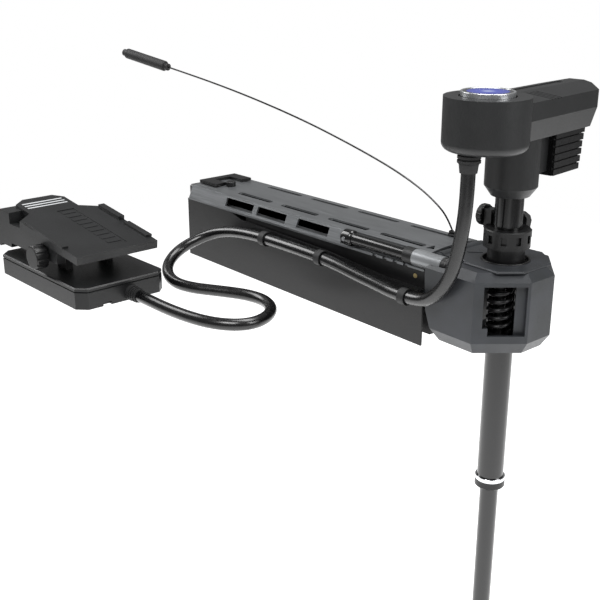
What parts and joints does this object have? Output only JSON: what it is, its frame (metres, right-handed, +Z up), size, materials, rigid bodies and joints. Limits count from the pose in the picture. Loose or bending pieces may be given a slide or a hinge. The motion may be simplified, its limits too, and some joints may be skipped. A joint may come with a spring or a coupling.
{
  "type": "bow-mount trolling motor with foot pedal",
  "caption": "Bow-mount electric trolling motor: slotted deck rail, folding nose, steered shaft with propeller pod, control head, and a foot pedal on a cable.",
  "frame": {"origin": "centre of the four deck bolt holes, on the deck surface under the mount's feet", "axes": "+X to the bow along the rail, +Y across the deck away from the foot pedal, +Z up"},
  "size_m": [1.039, 0.5786, 1.3833],
  "materials": {
    "rubber": "matte",
    "black_metal": "satin",
    "nose_metal": "satin",
    "steel": "brushed",
    "rail_metal": "satin",
    "plastic_black": "matte",
    "brass": "brushed",
    "cable_rubber": "satin",
    "plastic_dark": "matte",
    "strut_metal": "satin",
    "shaft_metal": "satin",
    "chrome": "polished",
    "silver_ring": "satin",
    "cast_black": "satin",
    "blue_gloss": "gloss",
    "magnet": "matte",
    "plastic_light": "matte"
  },
  "bodies": {
    "mount": {"deck_feet": "rubber", "base_frame": "black_metal", "hinge_cheeks": "nose_metal", "hinge_pins": "steel", "top_rail": "rail_metal", "rail_end_cap": "plastic_black", "stow_rest": "plastic_black", "side_skirts": "plastic_black", "side_panels": "plastic_black", "panel_screws": "brass", "cable_lower": "cable_rubber", "cord_fittings": "plastic_black", "pedal_base": "plastic_dark", "pedal_deck": "plastic_dark", "pedal_axle": "steel", "pedal_rubbers": "rubber"},
    "rear_knob": {"rear_knob": "plastic_black"},
    "strut": {"strut_tube": "black_metal"},
    "strut_head": {"strut_sleeve": "strut_metal", "strut_ends": "plastic_black"},
    "nose": {"nose_housing": "nose_metal", "nose_lower": "nose_metal", "nose_top_plate": "plastic_dark", "guide_ring": "plastic_black", "shaft_bushings": "plastic_black", "spring_posts": "black_metal", "breakaway_springs": "black_metal", "depth_collar": "plastic_dark"},
    "clamp_knob": {"clamp_knob": "plastic_black"},
    "cam_lever": {"cam_lever": "plastic_black"},
    "shaft": {"outer_tube": "shaft_metal", "stop_ring": "chrome", "end_collar": "plastic_black", "inner_bushings": "plastic_black", "head_lower": "plastic_dark", "head_upper": "plastic_dark", "finned_block": "cast_black", "head_gland": "rubber", "indicator_bezel": "silver_ring", "steering_motor": "steel", "motor_bracket": "black_metal", "control_board": "plastic_dark", "cable_upper": "cable_rubber"},
    "indicator": {"direction_indicator": "blue_gloss"},
    "pinion": {"steering_pinion": "steel"},
    "lower_unit": {"inner_tube": "shaft_metal", "steering_gear": "steel", "motor_housing": "cast_black", "pod_ends": "cast_black", "motor_bearings": "steel", "stator_magnets": "magnet"},
    "prop": {"motor_rotor": "steel", "propeller": "plastic_black", "propeller_fasteners": "steel"},
    "pad": {"pedal_pad": "plastic_dark", "pad_lights": "plastic_light"},
    "speed_knob": {"speed_knob": "plastic_black"},
    "momentary_button": {"momentary_button": "plastic_black"},
    "pull": {"pull_cord": "cable_rubber", "pull_handle": "rubber"}
  },
  "joints": [
    {"name": "stow_tilt", "type": "hinge", "parent": "mount", "child": "nose", "pos_m": [0.315, 0, 0.13], "axis": [0, -1, 0], "range_deg": [0, 90]},
    {"name": "strut_swing", "type": "hinge", "parent": "mount", "child": "strut", "pos_m": [0.142, -0.066, 0.131], "axis": [0, -1, 0], "range_deg": [0, 10.8]},
    {"name": "strut_retract", "type": "slide", "parent": "strut", "child": "strut_head", "axis": [-1, 0, 0], "range_m": [0, 0.0362]},
    {"name": "depth_slide", "type": "slide", "parent": "nose", "child": "shaft", "axis": [0, 0, 1], "range_m": [0, 0.2], "deforming": ["cable_upper"]},
    {"name": "steer", "type": "hinge", "parent": "shaft", "child": "lower_unit", "pos_m": [0.4, 0, 0], "axis": [0, 0, 1], "range_deg": [-180, 180]},
    {"name": "indicator_turn", "type": "hinge", "parent": "shaft", "child": "indicator", "pos_m": [0.40735, -0.07364, 0.386], "axis": [0, 0, 1], "range_deg": [-180, 180]},
    {"name": "pinion_spin", "type": "hinge", "parent": "shaft", "child": "pinion", "pos_m": [0.39563, 0.04378, 0.334], "axis": [0, 0, 1], "range_deg": [-540, 540]},
    {"name": "prop_spin", "type": "hinge", "parent": "lower_unit", "child": "prop", "pos_m": [0.208, 0, -0.858], "axis": [1, 0, 0], "continuous": true},
    {"name": "clamp_screw", "type": "hinge", "parent": "nose", "child": "clamp_knob", "pos_m": [0.352, 0, 0.2], "axis": [1, 0, 0], "range_deg": [0, 360]},
    {"name": "cam_release", "type": "hinge", "parent": "nose", "child": "cam_lever", "pos_m": [0.4, 0.04, 0.174], "axis": [-1, 0, 0], "range_deg": [0, 60]},
    {"name": "latch_knob_turn", "type": "hinge", "parent": "mount", "child": "rear_knob", "pos_m": [-0.232, -0.016, 0.142], "axis": [0, 0, 1], "range_deg": [0, 90]},
    {"name": "pad_tilt", "type": "hinge", "parent": "mount", "child": "pad", "pos_m": [-0.275, -0.3105, 0.07], "axis": [0, 1, 0], "range_deg": [-5, 12]},
    {"name": "speed_knob_turn", "type": "hinge", "parent": "pad", "child": "speed_knob", "pos_m": [-0.275, -0.4, 0.07], "axis": [0, 1, 0], "range_deg": [-135, 135]},
    {"name": "button_press", "type": "slide", "parent": "pad", "child": "momentary_button", "axis": [1, 0, 0], "range_m": [0, 0.004], "stiffness_N_per_m": 600, "springref_m": -0.002},
    {"name": "cord_swing", "type": "hinge", "parent": "mount", "child": "pull", "pos_m": [0.2646, 0.0423, 0.1449], "axis": [-0.9829, -0.184, 0], "range_deg": [0, 90]}
  ],
  "couplings": [
    {"joint": "strut_swing", "follows": "stow_tilt", "ratio": 0.119},
    {"joint": "strut_retract", "follows": "stow_tilt", "m_per_rad": 0.02292},
    {"joint": "cord_swing", "follows": "stow_tilt", "ratio": 1},
    {"joint": "indicator_turn", "follows": "steer", "ratio": 1},
    {"joint": "pinion_spin", "follows": "steer", "ratio": -3}
  ]
}
